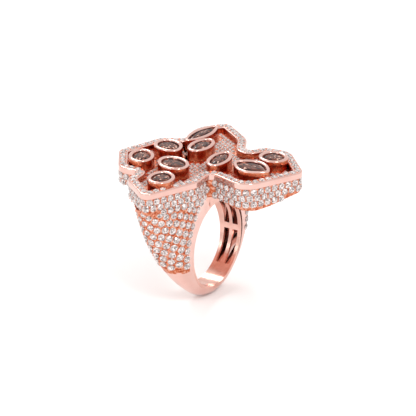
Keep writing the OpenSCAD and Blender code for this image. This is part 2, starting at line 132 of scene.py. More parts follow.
def newMaterial(name):
    material = bpy.data.materials.new(name)
    material.use_nodes = True
    tree = material.node_tree
    tree.nodes.clear()
    shader = addNode(tree, "ShaderNodeBsdfPrincipled")
    out = addNode(tree, "ShaderNodeOutputMaterial")
    tree.links.new(shader.outputs["BSDF"], out.inputs["Surface"])
    where = addNode(tree, "ShaderNodeTexCoord").outputs["Object"]
    return material, tree, shader, where


# A ramp through (place, hex colour) stops.
def colourRamp(tree, factor, stops):
    ramp = addNode(tree, "ShaderNodeValToRGB", Fac=factor)
    elements = ramp.color_ramp.elements
    while len(elements) < len(stops):
        elements.new(0.5)
    for element, (place, colour) in zip(elements, stops):
        element.position = place
        element.color = toLinear(colour)
    return ramp.outputs["Color"]


# Rose gold: an alloy of gold and copper, so a warm pink metal. The colour drifts a little over
# clouds of grainMm, and a fine noise of bumpMm breaks up the polish.
def goldFinish(name, colours, roughness, grainMm, bumpMm, bumpStrength):
    material, tree, shader, where = newMaterial(name)
    clouds = addNode(tree, "ShaderNodeTexNoise", Vector=where, Scale=1 / (grainMm * millimetre),
                     Detail=3.0)
    tree.links.new(colourRamp(tree, clouds.outputs["Fac"], colours), shader.inputs["Base Color"])
    rough = addNode(tree, "ShaderNodeMapRange", Value=clouds.outputs["Fac"],
                    To_Min=roughness * 0.75, To_Max=roughness * 1.35)
    tree.links.new(rough.outputs["Result"], shader.inputs["Roughness"])
    fine = addNode(tree, "ShaderNodeTexNoise", Vector=where, Scale=1 / (bumpMm * millimetre), Detail=2.0)
    bump = addNode(tree, "ShaderNodeBump", Height=fine.outputs["Fac"], Strength=bumpStrength,
                   Distance=0.02 * millimetre)
    tree.links.new(bump.outputs["Normal"], shader.inputs["Normal"])
    shader.inputs["Metallic"].default_value = 1.0
    return material


# A cut stone: each facet shows a painted reflection, its own patch of light or dark from the facet
# attribute, under a sharp glassy reflection.
def stoneWithPaintedReflections(name, stops, roughness, ior, coat):
    material, tree, shader, where = newMaterial(name)
    paintedReflection = addNode(tree, "ShaderNodeAttribute", {"attribute_name": "paintedFacetReflection"}).outputs["Fac"]
    veil = addNode(tree, "ShaderNodeTexNoise", Vector=where, Scale=1 / (0.5 * millimetre), Detail=1.0)
    mixed = addNode(tree, "ShaderNodeMath", {"operation": "MULTIPLY_ADD"},
                    _0=veil.outputs["Fac"], _1=0.22, _2=paintedReflection)
    centred = addNode(tree, "ShaderNodeMath", {"operation": "SUBTRACT"}, _0=mixed.outputs[0], _1=0.11)
    tree.links.new(colourRamp(tree, centred.outputs[0], stops), shader.inputs["Base Color"])
    shader.inputs["Roughness"].default_value = roughness
    shader.inputs["IOR"].default_value = ior
    shader.inputs["Coat Weight"].default_value = coat
    shader.inputs["Coat Roughness"].default_value = 0.03
    return material


# polished 18 ct rose gold: mirror bright, pale pink with salmon depths
polishedRoseGold = goldFinish("polishedRoseGold", [(0.3, "#dfb2a7"), (0.7, "#e8c2b8")],
                              0.11, 4, 0.6, 0.15)
# lapped and left: the insides and undersides keep a duller polish
satinRoseGold = goldFinish("satinRoseGold", [(0.3, "#dba797"), (0.7, "#e8bbae")], 0.18, 2.5, 0.3, 0.4)
# grained rose gold between the stones: a graver-cut grain with painted shade in dark orange pits and
# painted highlights on bright burrs, all painted darker for the shade among the stones
grainedPaintedShadeGold = goldFinish("grainedPaintedShadeGold", [(0.35, "#a8492b"), (0.5, "#cb7654"), (0.65, "#e6ad97")],
                             0.27, 0.45, 0.22, 1.0)
# painted shade: deep copper-orange for the dark reflections in the recesses, on the tray's inner walls and
# the collars' outsides
paintedShadeRoseGold = goldFinish("paintedShadeRoseGold", [(0.3, "#bf5f3c"), (0.55, "#cf7a58"), (0.7, "#e09a7c")],
                          0.2, 1.2, 0.3, 0.5)
# raised beads that hold the stones: small bright orange domes
beadRoseGold = goldFinish("beadRoseGold", [(0.3, "#cf7450"), (0.7, "#e9ab91")], 0.18, 0.8, 0.2, 0.2)
# brilliant-cut clear stones: pale, with painted reflections that turn their facets warm grey, near black or
# white
clearBrilliant = stoneWithPaintedReflections("clearBrilliant", [(0.0, "#332a29"), (0.3, "#7b6c69"), (0.6, "#b7a6a2"),
                                                (1.0, "#f1e8e5")], 0.06, 1.8, 0.4)
# smoky quartz: its own deep brown, with painted reflections on its facets from near-black to pale flashes
smokyQuartz = stoneWithPaintedReflections("smokyQuartz", [(0.0, "#080202"), (0.25, "#2b100b"), (0.55, "#6c3829"),
                                          (0.85, "#a0654f"), (1.0, "#efc6b4")], 0.03, 1.38, 0.0)
print("materials ready")


# Cubic Bezier: p0 (1-t)^3 + 3 p1 t (1-t)^2 + 3 p2 t^2 (1-t) + p3 t^3, on whole arrays.
def bezier(p, t):
    u = 1 - t
    return p[0] * u**3 + 3 * p[1] * t * u**2 + 3 * p[2] * t**2 * u + p[3] * t**3


# Every side of the outline moves inwards by that distance, and the corners are where moved
# neighbours cross; outward corners lose that much radius, and notches gain it.
def insetCorners(corners, by):
    here = corners[:, :2]
    before = here - np.roll(here, 1, 0)
    after = np.roll(here, -1, 0) - here
    before /= np.linalg.norm(before, axis=1)[:, None]
    after /= np.linalg.norm(after, axis=1)[:, None]
    cross = before[:, 0] * after[:, 1] - before[:, 1] * after[:, 0]
    side = np.stack([-before[:, 1], before[:, 0]], 1) + np.stack([-after[:, 1], after[:, 0]], 1)
    place = here + by * side / (1 + (before * after).sum(1))[:, None]
    radius = np.where(cross > 0, np.maximum(0.25, corners[:, 2] - by), corners[:, 2] + by)
    return np.column_stack([place, radius])


# Each corner becomes an arc of its radius that touches both sides, with steps + 1 points.
def roundedOutline(corners, steps=12):
    here = corners[:, :2]
    u = np.roll(here, 1, 0) - here
    v = np.roll(here, -1, 0) - here
    u /= np.linalg.norm(u, axis=1)[:, None]
    v /= np.linalg.norm(v, axis=1)[:, None]
    half = np.arccos((u * v).sum(1)) / 2
    r = corners[:, 2]
    centre = here + (u + v) / np.linalg.norm(u + v, axis=1)[:, None] * (r / np.sin(half))[:, None]
    start = here + u * (r / np.tan(half))[:, None] - centre
    end = here + v * (r / np.tan(half))[:, None] - centre
    a0 = np.arctan2(start[:, 1], start[:, 0])
    turn = np.arctan2(start[:, 0] * end[:, 1] - start[:, 1] * end[:, 0], (start * end).sum(1))
    a = a0[:, None] + turn[:, None] * np.linspace(0, 1, steps + 1)[None]
    arcs = centre[:, None] + r[:, None, None] * np.stack([np.cos(a), np.sin(a)], 2)
    return arcs.reshape(-1, 2)


# The petal's stretch of the outline, moved inwards, from the middle of one notch to the next. Long
# straights get extra points, so that slopes along them stay smooth.
def petalLine(by, petal, steps=12, refine=3):
    allPoints = roundedOutline(insetCorners(headCorners, by), steps)
    first = notchAt[petal] * (steps + 1) + steps // 2
    last = notchAt[petal + 1] * (steps + 1) + steps // 2
    line = allPoints[np.arange(first, last + 1) % len(allPoints)]
    k = np.arange(refine) / refine
    more = line[:-1, None] * (1 - k)[None, :, None] + line[1:, None] * k[None, :, None]
    return np.vstack([more.reshape(-1, 2), line[-1:]])


# Points and unit directions at distances along an open line, by linear interpolation.
def alongLine(line, distance):
    steps = np.linalg.norm(np.diff(line, axis=0), axis=1)
    run = np.concatenate([[0], np.cumsum(steps)])
    place = np.stack([np.interp(distance, run, line[:, k]) for k in range(line.shape[1])], 1)
    at = np.clip(np.searchsorted(run, distance, "right") - 1, 0, len(steps) - 1)
    return place, np.diff(line, axis=0)[at] / steps[at][:, None]


def lineLength(line):
    return np.linalg.norm(np.diff(line, axis=0), axis=1).sum()


# The underside climbs gently to the back of its lowest line and steeply to the front of it.
def underAt(y):
    d = y + head["underFront"]
    return head["underLow"] + np.where(d > 0, d * head["riseBack"], -d * head["riseFront"])


# Quads of a grid of points, rows by columns, joined round where a direction closes.
def gridFaces(rows, columns, closeRows=False, closeColumns=False):
    i = np.arange(rows if closeRows else rows - 1)[:, None]
    j = np.arange(columns if closeColumns else columns - 1)[None]
    i2, j2 = (i + 1) % rows, (j + 1) % columns
    quads = np.stack([i * columns + j, i * columns + j2, i2 * columns + j2, i2 * columns + j], 2)
    return quads.reshape(-1, 4)


# Points in millimetres and faces become one mesh that rides on the ring and stands for its CAD
# nodes. The painted reflection of each facet, when given, is stored as a face attribute, one value a
# face; takesSecond marks the faces that take the second material.
def putMesh(name, points, faces, material, replaced, smooth=True, paintedReflection=None, autoDegrees=None,
            second=None, takesSecond=None):
    mesh = bpy.data.meshes.new(name)
    mesh.from_pydata((points * millimetre).tolist(), [], [list(f) for f in faces])
    mesh.update()
    if paintedReflection is not None:
        paintedFacetReflection = mesh.attributes.new("paintedFacetReflection", "FLOAT", "FACE")
        paintedFacetReflection.data.foreach_set("value", paintedReflection.astype(np.float32))
    mesh.polygons.foreach_set("use_smooth", np.full(len(mesh.polygons), smooth))
    mesh.materials.append(material)
    if second is not None:
        mesh.materials.append(second)
        mesh.polygons.foreach_set("material_index", takesSecond.astype(np.int32))
    piece = bpy.data.objects.new(name, mesh)
    bpy.context.scene.collection.objects.link(piece)
    if autoDegrees is not None:
        mesh.set_sharp_from_angle(angle=math.radians(autoDegrees))
    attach(piece, "root")
    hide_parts(*replaced)
    return piece


pave = {
    "shoulderStone": 1.42, "shoulderPitch": 1.6, "columnPitch": 1.56, "shoulderEdge": 0.78,
    "paveFrom": 86.0,        # angle where the shoulder stones begin, degrees
    "crowded": 0.8,          # a stone nearer than this to another, in stones, is left out
    "gradedGap": 0.05,
    "rimStone": 1.15, "rimPitch": 1.36,
    "wallStone": 1.38, "wallPitch": 1.5, "wallRow": 1.2,
    "floorStone": 0.85, "floorPitch": 1.0,
    "bead": 0.42, "smallBead": 0.3,
    "rimEndRoom": 0.62,      # from a notch to the first rim stone, in stones
    "rimBeadAside": 0.42,    # from the middle line of the rim
    "wallRows": 3,
    "wallEndRoom": 0.6,      # from a notch to the first wall stone, in stones
    "honeycomb": 0.87,       # row distance of the floor stones, in pitches
    "gridHalf": 24,          # half of the rows and columns laid over the tray
}

# A place at a radius and an angle from straight down, turning towards -X.
def aroundFinger(radius, angle, y):
    a = np.radians(angle)
    radius, a, y = np.broadcast_arrays(radius, a, y)
    return np.stack([-radius * np.sin(a), y, -radius * np.cos(a)], -1)


domeRadius = ring["linerRadius"] + np.array([0.1, 1.3 * ring["domeHeight"], 1.3 * ring["domeHeight"], 0.1])
domeAcross = ring["halfWidth"] * np.array([-1, -0.76, 0.76, 1])


# The dome section is swept round the finger over the plain lower part.
def shankBand():
    s = np.linspace(0, 1, 33)[None]
    angle = np.linspace(-ring["plainHalf"], ring["plainHalf"], 97)[:, None]
    outside = aroundFinger(bezier(domeRadius, s), angle, bezier(domeAcross, s))
    inside = aroundFinger(ring["linerRadius"], angle, bezier(domeAcross, s))
    points = np.concatenate([outside, inside[:, ::-1]], 1)
    rows, columns = points.shape[:2]
    faces = [list(f) for f in gridFaces(rows, columns, closeColumns=True)]
    faces.append(list(range(columns - 1, -1, -1)))
    faces.append([(rows - 1) * columns + k for k in range(columns)])
    putMesh("shank_band_polished", points.reshape(-1, 3), faces, polishedRoseGold,
            ["shank_band"], autoDegrees=40)


shoulders = {
    "left": {"side": 1, "top": [[-14.6, -2.2], [-25.4, 5.4], [-9.8, 8.4]]},
    "right": {"side": -1, "top": [[-12.6, -1.4], [-23.4, 8.6], [-10, 9.4]]},
}


# Four rails from the band's end up to the head: front edge, two over the swell, back edge.
def shoulderRails(top):
    r, w, z = ring["linerRadius"], ring["halfWidth"], ring["topHeight"]
    foot = aroundFinger(domeRadius, ring["plainHalf"], domeAcross)
    return np.array([
        [foot[0], [-r - 3.5, -w, -1.8], [-r - 2, -w - 0.3, 6.5], [-4.2, -w - 0.3, z - 1.5]],
        [foot[1], [2.6 - ring["reach"], -w - 0.3, -1.6], [1.6 - ring["reach"], -w - 2, 7], [*top[0], z]],
        [foot[2], [0.6 - ring["reach"], w + 2.8, -2.2], [-3.6 - ring["reach"], w + 8.4, 6], [*top[1], z]],
        [foot[3], [-r - 3.6, w + 0.3, -0.8], [-r - 0.6, w + 1.8, 6.5], [*top[2], z]],
    ])


# A Bezier across the four rails, each of them a Bezier from bottom to top.
def shoulderOutside(rails, s, t):
    across = [bezier([rails[k, m][None, None] for m in range(4)], t[..., None]) for k in range(4)]
    return bezier(across, s[..., None])


# Its edges sit on the liner, and between them it keeps the shell's thickness.
def shoulderInside(rails, s, t):
    angle = ring["plainHalf"] + (ring["topAngle"] - ring["plainHalf"]) * t
    opened = np.minimum(1, t * 8)[..., None]
    across = [bezier([rails[k, m][None, None] for m in range(4)], t[..., None]) for k in range(4)]
    seat = ring["linerRadius"] + 0.01
    widest = ring["halfWidth"] + ring["flare"] * np.maximum(0, -seat * np.cos(np.radians(angle)) + 4) / 12.5
    middles = [aroundFinger(seat, angle, across[k][..., 1]) * (1 - opened)
               + (across[k] + np.array([ring["shell"] * 4 / 3, 0, 0])) * opened for k in (1, 2)]
    back = np.minimum(across[3][..., 1], widest)
    return bezier([aroundFinger(seat, angle, across[0][..., 1]), *middles,
                   aroundFinger(seat, angle, back)], s[..., None])


# How far up each line runs until it meets the underside, halving the gap thirty times.
def topOfShoulder(surface, rails, s):
    low, high = np.zeros_like(s), np.ones_like(s)
    for _ in range(30):
        mid = (low + high) / 2
        p = surface(rails, s, mid)
        above = p[..., 2] > underAt(p[..., 1])
        low, high = np.where(above, low, mid), np.where(above, mid, high)
    return low


# Outside and inside grids share their edges' order, so one closed strip joins them.
def shoulder(side):
    facts = shoulders[side]
    rails = shoulderRails(facts["top"])
    s = np.linspace(0, 1, 49)[None]
    u = np.linspace(0, 1, 73)[:, None]
    outside = shoulderOutside(rails, s + 0 * u, u * topOfShoulder(shoulderOutside, rails, s))
    inside = shoulderInside(rails, s + 0 * u, u * topOfShoulder(shoulderInside, rails, s))
    points = np.concatenate([outside, inside[:, ::-1]], 1)
    rows, columns = points.shape[:2]
    faces = gridFaces(rows, columns, closeColumns=True)
    n = columns // 2
    k = np.arange(n - 1)
    foot = np.stack([k, columns - 1 - k, columns - 2 - k, k + 1], 1)
    top = (rows - 1) * columns + np.stack([k, k + 1, columns - 2 - k, columns - 1 - k], 1)
    faces = np.concatenate([faces, foot, top])
    # plain polish below the pave, on both borders and inside; grained gold with painted shade under the
    # stones
    middle = points.reshape(-1, 3)[faces].mean(1)
    angle = np.degrees(np.arctan2(-middle[:, 0], -middle[:, 2]))
    line = np.arange(rows * columns) % columns
    edge = (line[faces].min(1) < 2) | (line[faces].max(1) >= n - 2)
    plain = edge | (angle < pave["paveFrom"] - 7)
    faces = faces if facts["side"] < 0 else faces[:, ::-1]
    points = points * np.array([facts["side"], 1, 1])
    putMesh(f"shoulder_{side}_shell", points.reshape(-1, 3), faces, grainedPaintedShadeGold,
            [f"shoulder_{side}"], autoDegrees=35, second=polishedRoseGold, takesSecond=plain)


shankBand()
for side in shoulders:
    shoulder(side)
print("shank and shoulders ready")


# A round brilliant above its setting: girdle ring, kite ring and table ring on circles, with facets
# between them, and a skirt down into the metal. Unit diameter.
def brilliantShape():
    def circle(radius, z, count, turn=0.0):
        a = 2 * np.pi * (np.arange(count) + turn) / count
        return np.stack([radius * np.cos(a), radius * np.sin(a), np.full(count, z)], 1)
    points = np.vstack([circle(0.5, -0.12, 16), circle(0.5, 0.03, 16), circle(0.4, 0.12, 8, 0.5),
                        circle(0.27, 0.2, 8), [[0, 0, 0.2]]])
    skirt, girdle, kite, table, centre = 0, 16, 32, 40, 48
    side = np.arange(16)
    nextSide = (side + 1) % 16
    k = np.arange(8)
    n = (k + 1) % 8
    faces = [
        np.stack([skirt + side, skirt + nextSide, girdle + nextSide], 1),
        np.stack([skirt + side, girdle + nextSide, girdle + side], 1),
        np.stack([girdle + 2 * k, girdle + 2 * k + 1, kite + k], 1),
        np.stack([girdle + 2 * k + 1, girdle + (2 * k + 2) % 16, kite + k], 1),
        np.stack([kite + k, girdle + (2 * k + 2) % 16, kite + n], 1),
        np.stack([kite + k, kite + n, table + n], 1),
        np.stack([table + k, kite + k, table + n], 1),
        np.stack([centre + 0 * k, table + k, table + n], 1),
    ]
    return points, np.vstack(faces)


# A bead: half a ball on a short stem, four rings of eight points and a top. Unit diameter.
def beadShape():
    a = 2 * np.pi * np.arange(8) / 8
    rings = [(0.5, -0.3), (0.5, 0.0), (0.4, 0.28), (0.2, 0.45)]
    points = np.vstack([np.stack([r * np.cos(a), r * np.sin(a), np.full(8, z)], 1) for r, z in rings]
                       + [np.array([[0, 0, 0.5]])])
    quads = gridFaces(4, 8, closeColumns=True)
    k = np.arange(8)
    cap = np.stack([24 + k, 24 + (k + 1) % 8, np.full(8, 32)], 1)
    return points, np.vstack([quads[:, [0, 1, 2]], quads[:, [0, 2, 3]], cap])


# Each copy is scaled, spun about its own axis and stood along its normal: a point p goes to place +
# size * (x * side + y * other + z * normal), for all copies at once.
def repeated(shape, places, normals, sizes, spins):
    points, faces = shape
    normals = normals / np.linalg.norm(normals, axis=1)[:, None]
    helper = np.where(np.abs(normals[:, 2:3]) < 0.9, [[0.0, 0.0, 1.0]], [[1.0, 0.0, 0.0]])
    side = np.cross(helper, normals)
    side /= np.linalg.norm(side, axis=1)[:, None]
    other = np.cross(normals, side)
    c, s = np.cos(spins)[:, None], np.sin(spins)[:, None]
    x, y = c * side + s * other, c * other - s * side
    moved = (points[None, :, :1] * x[:, None] + points[None, :, 1:2] * y[:, None]
             + points[None, :, 2:] * normals[:, None]) * np.broadcast_to(sizes, len(places))[:, None, None]
    moved = moved + places[:, None]
    allFaces = faces[None] + (np.arange(len(places)) * len(points))[:, None, None]
    return moved.reshape(-1, 3), allFaces.reshape(-1, 3)


# One piece of clear stones that stands for its CAD node, and one of the beads that hold them.
def setPave(name, places, normals, diameter, beads, beadNormals, beadDiameter, replaced):
    spins = chance.uniform(0, 6.28, len(places))
    points, faces = repeated(brilliantShape(), places, normals, diameter, spins)
    # painted reflections: a random light or dark value for each facet
    paintedReflection = np.clip(chance.normal(0.62, 0.27, len(faces)), 0, 1)
    putMesh(f"{name}_brilliants", points, faces, clearBrilliant, [replaced], smooth=False,
            paintedReflection=paintedReflection)
    if len(beads):
        points, faces = repeated(beadShape(), beads, beadNormals, beadDiameter, np.zeros(len(beads)))
        putMesh(f"{name}_beads", points, faces, beadRoseGold, [])


# Distances between two lists of places, less each other's reach; a place is far from itself.
def spacing(spots, others, reach=0.0):
    gap = np.linalg.norm(spots[:, None, :3] - others[None, :, :3], axis=2)
    return np.where(gap < 1e-6, 99.0, gap) - reach


# Columns keep their distance from the front edge, found along each cross-section; stones are spaced
# evenly up a column, and beads stand beside the gaps between them.
def shoulderPave(side):
    facts = shoulders[side]
    rails = shoulderRails(facts["top"])
    s = np.linspace(0, 1, 97)[None]
    t = np.linspace(0, 1, 161)[:, None]
    surface = shoulderOutside(rails, s + 0 * t, t + 0 * s)
    angle = np.degrees(np.arctan2(-surface[:, 0, 0], -surface[:, 0, 2]))
    rows = surface[angle > pave["paveFrom"]]
    lengths = np.array([lineLength(row) for row in rows])
    found = {"stone": [], "bead": []}
    columns = int((lengths.max() - 2 * pave["shoulderEdge"]) / pave["columnPitch"]) + 1
    for i in np.arange(2 * columns) / 2:
        kind = "stone" if i % 1 == 0 else "bead"
        distance = pave["shoulderEdge"] + i * pave["columnPitch"]
        longEnough = rows[lengths - pave["shoulderEdge"] >= distance]
        spots = [alongLine(row, np.array([distance])) for row in longEnough]
        line = np.array([q[0][0] for q in spots])
        across = np.array([q[1][0] for q in spots])
        margin = pave["shoulderStone"] * (0.02 if kind == "stone" else 0.0)
        keep = line[:, 2] < underAt(line[:, 1]) - margin if len(line) else np.zeros(0, bool)
        line, across = line[keep], across[keep]
        if len(line) < 3:
            continue
        pitch = pave["shoulderPitch"] if kind == "stone" else pave["shoulderPitch"] / 2
        start = (i % 2) * pave["shoulderPitch"] / 2 if kind == "stone" else pave["shoulderPitch"] / 4
        distances = np.arange(start, lineLength(line), pitch)
        place, up = alongLine(line, distances)
        run = np.concatenate([[0], np.cumsum(np.linalg.norm(np.diff(line, axis=0), axis=1))])
        at = np.clip(np.searchsorted(run, distances) - 1, 0, len(across) - 1)
        found[kind].append(np.hstack([place, np.cross(up, across[at])]))
    mirrored = np.array([facts["side"], 1, 1])
    stones, beads = np.vstack(found["stone"]), np.vstack(found["bead"])
    # where columns crowd together the stones are smaller, and one too near an earlier one is left out
    crowd = np.tril(spacing(stones, stones) < pave["crowded"] * pave["shoulderStone"]).any(1)
    stones = stones[~crowd]
    sizes = np.minimum(pave["shoulderStone"], spacing(stones, stones).min(1) - pave["gradedGap"])
    beads = beads[spacing(beads, stones, sizes / 2).min(1) > -0.05]
    setPave(f"shoulder_{side}", stones[:, :3] * mirrored, stones[:, 3:] * mirrored, sizes,
            beads[:, :3] * mirrored, beads[:, 3:] * mirrored, pave["bead"], f"shoulder_stones_{side}")


# One row on the middle line of the rim, with a pair of beads in each gap.
def rimPave(petal, name):
    line = petalLine(head["rimWidth"] / 2, petal)
    total = lineLength(line) - 2 * pave["rimEndRoom"] * pave["rimStone"]
    gaps = int(total / pave["rimPitch"])
    distances = pave["rimEndRoom"] * pave["rimStone"] + total * np.arange(gaps + 1) / gaps
    place, _ = alongLine(line, distances)
    place = place[clearOfSets(place, 0.3 * pave["rimStone"])]
    between, way = alongLine(line, (distances[:-1] + distances[1:]) / 2)
    side = np.stack([-way[:, 1], way[:, 0]], 1)
    beads = np.vstack([between + side * pave["rimBeadAside"], between - side * pave["rimBeadAside"]])
    upright = lambda p: np.column_stack([p, np.full(len(p), head["rimHeight"])])
    up = np.array([[0.0, 0.0, 1.0]])
    setPave(f"rim_{name}", upright(place), np.repeat(up, len(place), 0), pave["rimStone"],
            upright(beads), np.repeat(up, len(beads), 0), pave["smallBead"], f"rim_stones_{name}")


# Rows stacked below the rim band, each second one moved half a step, with beads between.
def wallPave(petal, name):
    line = petalLine(head["recess"], petal)
    stones, beads = [], []
    top = head["rimHeight"] - head["rimBand"] - 0.5 * pave["wallStone"]
    for j in range(pave["wallRows"]):
        z = top - j * pave["wallRow"]
        for kind, shift, drop in ((stones, 0.0, 0.0), (beads, 0.5, 0.0), (beads, 0.0, -0.5)):
            start = pave["wallStone"] * pave["wallEndRoom"] + ((j % 2) * 0.5 + shift) * pave["wallPitch"]
            place, way = alongLine(line, np.arange(start, lineLength(line) - 0.3, pave["wallPitch"]))
            spots = np.column_stack([place, np.full(len(place), z + drop * pave["wallRow"]),
                                     way[:, 1], -way[:, 0], np.zeros(len(way))])
            room = pave["wallStone"] * (0.15 if kind is stones else 0.1)
            kind.append(spots[spots[:, 2] > underAt(spots[:, 1]) + room])
    stones, beads = np.vstack(stones), np.vstack(beads)
    setPave(f"wall_{name}", stones[:, :3], stones[:, 3:], pave["wallStone"],
            beads[:, :3], beads[:, 3:], pave["bead"], f"wall_stones_{name}")


# A point is inside when a line to its right crosses the outline an odd number of times.
def insideOutline(points, outline):
    a, b = outline[None], np.roll(outline, -1, 0)[None]
    x, y = points[:, :1], points[:, 1:]
    rise = np.where(b[..., 1] == a[..., 1], 1e-9, b[..., 1] - a[..., 1])
    spans = (a[..., 1] > y) != (b[..., 1] > y)
    toTheRight = x < (b[..., 0] - a[..., 0]) * (y - a[..., 1]) / rise + a[..., 0]
    return (spans & toTheRight).sum(1) % 2 == 1


# True where a point is outside every bezel's oval, grown by the gap.
def clearOfSets(points, gap):
    clear = np.ones(len(points), bool)
    for x, y, turn, length, width, _ in setStones:
        c, s = math.cos(math.radians(turn)), math.sin(math.radians(turn))
        d = points - np.array([x, y])
        u = (d[:, 0] * c + d[:, 1] * s) / (length / 2 + gap)
        v = (d[:, 1] * c - d[:, 0] * s) / (width / 2 + gap)
        clear &= u * u + v * v >= 1
    return clear


# A honeycomb of small stones over the tray, each given to the petal whose slice holds it; beads
# stand in the middle of every second triangle of the honeycomb.
def floorPave():
    p = pave["floorPitch"]
    steps = np.arange(-pave["gridHalf"], pave["gridHalf"] + 1)
    i, j = np.meshgrid(steps, steps)
    grid = np.stack([(i + (j % 2) * 0.5) * p, j * p * pave["honeycomb"]], 2).reshape(-1, 2)
    edge = roundedOutline(insetCorners(headCorners, head["rimWidth"] + pave["floorStone"] * 0.55))
    notches = headCorners[np.array(notchAt[:4])][:, :2] - petalMiddle
    starts = np.arctan2(notches[:, 1], notches[:, 0])
    def placed(spots, gap):
        spots = spots[insideOutline(spots, edge) & clearOfSets(spots, gap)]
        d = spots - petalMiddle
        a = np.arctan2(d[:, 1], d[:, 0])
        petal = np.argmin((a[:, None] - starts[None]) % (2 * np.pi), 1)
        r = np.maximum(np.linalg.norm(spots, axis=1), 0.01)[:, None]
        z = head["rimHeight"] - head["floorDeep"] + head["floorSlope"] * r
        normal = np.hstack([-head["floorSlope"] * spots / r, np.ones_like(r)])
        return np.hstack([spots, z, normal]), petal
    stones, stonePetal = placed(grid, pave["floorStone"] * 0.5)
    beads, beadPetal = placed(grid + np.array([p / 2, p * 0.29]), 0.15)
    for k, name in enumerate(petalNames):
        mine, beadsMine = stones[stonePetal == k], beads[beadPetal == k]
        setPave(f"floor_{name}", mine[:, :3], mine[:, 3:], pave["floorStone"],
                beadsMine[:, :3], beadsMine[:, 3:], pave["smallBead"], f"floor_stones_{name}")


for side in shoulders:
    shoulderPave(side)
for k, name in enumerate(petalNames):
    rimPave(k, name)
    wallPave(k, name)
floorPave()
print("pave ready")


# lines[k] is the path at profile point k; the grid of them is one skin.
def carried(profile, lines, closed):
    points = np.stack(lines)
    faces = gridFaces(len(profile), points.shape[1], closeRows=True, closeColumns=closed)
    return points.reshape(-1, 3), faces


# The strip's section is a closed profile of (inset, height) points, carried along the petal's
# outline and capped at both notches.
def petalStrip(name, petal, profile, heights, material, replaced, second=None):
    paths = [petalLine(by, petal) for by in profile]
    lines = [np.column_stack([path, z(path)]) for path, z in zip(paths, heights)]
    points, faces = carried(profile, lines, False)
    n, m = len(profile), len(lines[0])
    faces = [list(f) for f in faces]
    faces.append([k * m for k in range(n)])
    faces.append([k * m + m - 1 for k in range(n - 1, -1, -1)])
    paintedShadeFaces = None
    if second is not None:
        # the side towards the tray, below its rounded top edge, takes the painted shade colour; the two
        # caps stay plain
        into = np.asarray(profile)[:, None] > head["rimWidth"] - 0.01
        paintedShadeFaces = np.append((into & np.roll(into, -1, 0)).repeat(m - 1, 1).ravel(), [False, False])
    putMesh(name, points, faces, material, replaced, autoDegrees=40, second=second,
            takesSecond=paintedShadeFaces)


# A rectangle's corners turned into quarter circles: (inset, height) pairs going round it.
def roundedSection(out, inner, low, high, r, steps=4):
    a = np.linspace(0, np.pi / 2, steps + 1)
    corner = lambda x, z, a0: np.stack([x + r * np.cos(a + a0), z + r * np.sin(a + a0)], 1)
    return np.vstack([corner(inner - r, high - r, 0), corner(out + r, high - r, np.pi / 2),
                      corner(out + r, low + r, np.pi), corner(inner - r, low + r, 1.5 * np.pi)])


def rimBand(petal, name):
    section = roundedSection(0.0, head["rimWidth"], head["rimHeight"] - head["rimBand"], head["rimHeight"],
                             head["edgeRound"])
    levels = [lambda p, z=z: np.full(len(p), z) for z in section[:, 1]]
    # the rim's side towards the tray takes the painted shade colour
    petalStrip(f"rim_{name}_band", petal, section[:, 0], levels, polishedRoseGold,
               [f"rim_{name}"], second=paintedShadeRoseGold)


def paveWall(petal, name):
    top = head["rimHeight"] - head["rimBand"]
    flat = lambda p: np.full(len(p), top)
    under = lambda p: underAt(p[:, 1])
    above = lambda p: underAt(p[:, 1]) + 0.25
    out, inner = head["recess"], head["rimWidth"]
    # grained gold with painted shade under the wall's stones
    petalStrip(f"wall_{name}_shell", petal, [inner, out, out, out + 0.15, inner],
               [flat, flat, above, under, under], grainedPaintedShadeGold, [f"wall_{name}"])


# An oval (l/2 cos a, w/2 sin a); a sharp end narrows as 1 - 0.42 sharp cos^2 a.
def setOutline(length, width, point, count):
    a = 2 * np.pi * np.arange(count) / count
    sharp = np.ones(count) if point == 1 else np.where(np.cos(a) > 0, point, 0)
    narrowed = 1 - sharp * 0.42 * np.cos(a) ** 2
    return np.stack([length / 2 * np.cos(a), width / 2 * np.sin(a) * narrowed], 1)


bezelSizes = {"rise": 1.0, "wall": 0.75, "seat": 0.75, "lip": 0.24, "ledge": 0.3}


def turned(points, x, y, turn):
    c, s = math.cos(math.radians(turn)), math.sin(math.radians(turn))
    moved = points.copy()
    moved[..., 0] = points[..., 0] * c - points[..., 1] * s + x
    moved[..., 1] = points[..., 0] * s + points[..., 1] * c + y
    return moved


# Outside wall, a rounded lip, the inside wall down to the ledge, and the hollow below it.
def bezel(number, x, y, turn, length, width, point):
    b = bezelSizes
    top = head["rimHeight"] + b["rise"]
    low = head["rimHeight"] - head["floorDeep"] + head["floorSlope"] * math.hypot(x, y) - 0.2
    a = np.linspace(0, np.pi, 9)
    half = b["wall"] / 2
    lip = np.stack([half - half * np.cos(a), top - b["lip"] + b["lip"] * np.sin(a)], 1)
    ledgeEnd = b["wall"] + b["ledge"]
    section = np.vstack([[[0, low]], lip, [[b["wall"], top - b["seat"]], [ledgeEnd, top - b["seat"]],
                                           [ledgeEnd, low]]])
    lines = [np.column_stack([setOutline(length - 2 * d, width - 2 * d, point, 72), np.full(72, z)])
             for d, z in section]
    points = turned(np.stack(lines), x, y, turn)
    faces = gridFaces(len(section), 72, closeRows=True, closeColumns=True)[:, ::-1]
    # the outside below the lip, which is the first stretch of the section, takes the painted shade colour
    # of the recess
    outside = np.repeat(np.arange(len(section)) == 0, 72)
    putMesh(f"bezel_{number}_collar", points.reshape(-1, 3), faces, polishedRoseGold,
            [f"bezel_{number}"], autoDegrees=50, second=paintedShadeRoseGold, takesSecond=outside)
